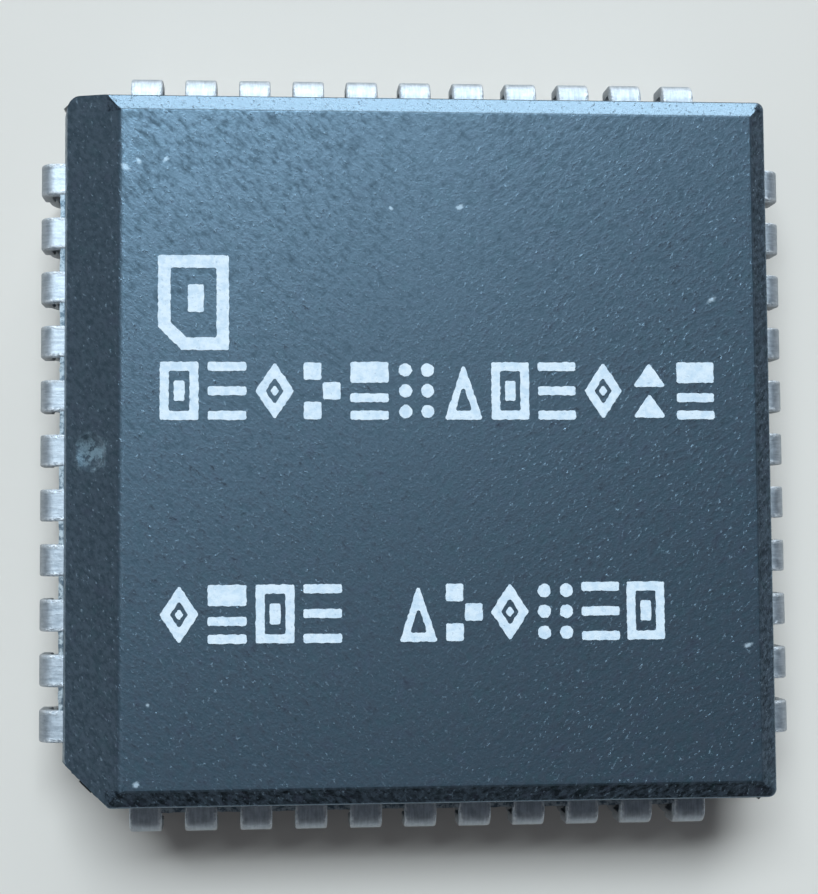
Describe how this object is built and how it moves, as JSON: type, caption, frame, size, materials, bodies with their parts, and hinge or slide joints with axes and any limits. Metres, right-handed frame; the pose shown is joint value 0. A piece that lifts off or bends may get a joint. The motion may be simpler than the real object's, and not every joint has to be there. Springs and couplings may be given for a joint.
{
  "type": "leaded chip carrier",
  "caption": "Square moulded plastic chip package with J-shaped leads on all four sides, one bevelled index edge with a round dimple, and the lead frame, die and bond wires inside.",
  "frame": {"origin": "middle of the footprint on the seating plane that the lead feet stand on", "axes": "+Z out of the marked face, -X towards the side with the index bevel and lead 1, -Y towards the corner-chamfer end of that side, right-handed"},
  "size_m": [0.0176, 0.0176, 0.0044],
  "materials": {
    "moulding_compound": "fine sandblasted dark slate epoxy",
    "plated_lead": "dull tin plating with fine draw lines along the bend",
    "copper_alloy": "bare rolled copper alloy",
    "silver_adhesive": "cured silver-filled adhesive",
    "silicon": "polished silicon with a fine circuit pattern",
    "gold_wire": "bright drawn gold wire"
  },
  "bodies": {
    "root": {"moulded_body": "moulding_compound", "lead_01": "plated_lead", "lead_02": "plated_lead", "lead_03": "plated_lead", "lead_04": "plated_lead", "lead_05": "plated_lead", "lead_06": "plated_lead", "lead_07": "plated_lead", "lead_08": "plated_lead", "lead_09": "plated_lead", "lead_10": "plated_lead", "lead_11": "plated_lead", "lead_12": "plated_lead", "lead_13": "plated_lead", "lead_14": "plated_lead", "lead_15": "plated_lead", "lead_16": "plated_lead", "lead_17": "plated_lead", "lead_18": "plated_lead", "lead_19": "plated_lead", "lead_20": "plated_lead", "lead_21": "plated_lead", "lead_22": "plated_lead", "lead_23": "plated_lead", "lead_24": "plated_lead", "lead_25": "plated_lead", "lead_26": "plated_lead", "lead_27": "plated_lead", "lead_28": "plated_lead", "lead_29": "plated_lead", "lead_30": "plated_lead", "lead_31": "plated_lead", "lead_32": "plated_lead", "lead_33": "plated_lead", "lead_34": "plated_lead", "lead_35": "plated_lead", "lead_36": "plated_lead", "lead_37": "plated_lead", "lead_38": "plated_lead", "lead_39": "plated_lead", "lead_40": "plated_lead", "lead_41": "plated_lead", "lead_42": "plated_lead", "lead_43": "plated_lead", "lead_44": "plated_lead", "die_pad": "copper_alloy", "die_attach": "silver_adhesive", "die": "silicon", "bond_wires": "gold_wire"}
  },
  "joints": []
}
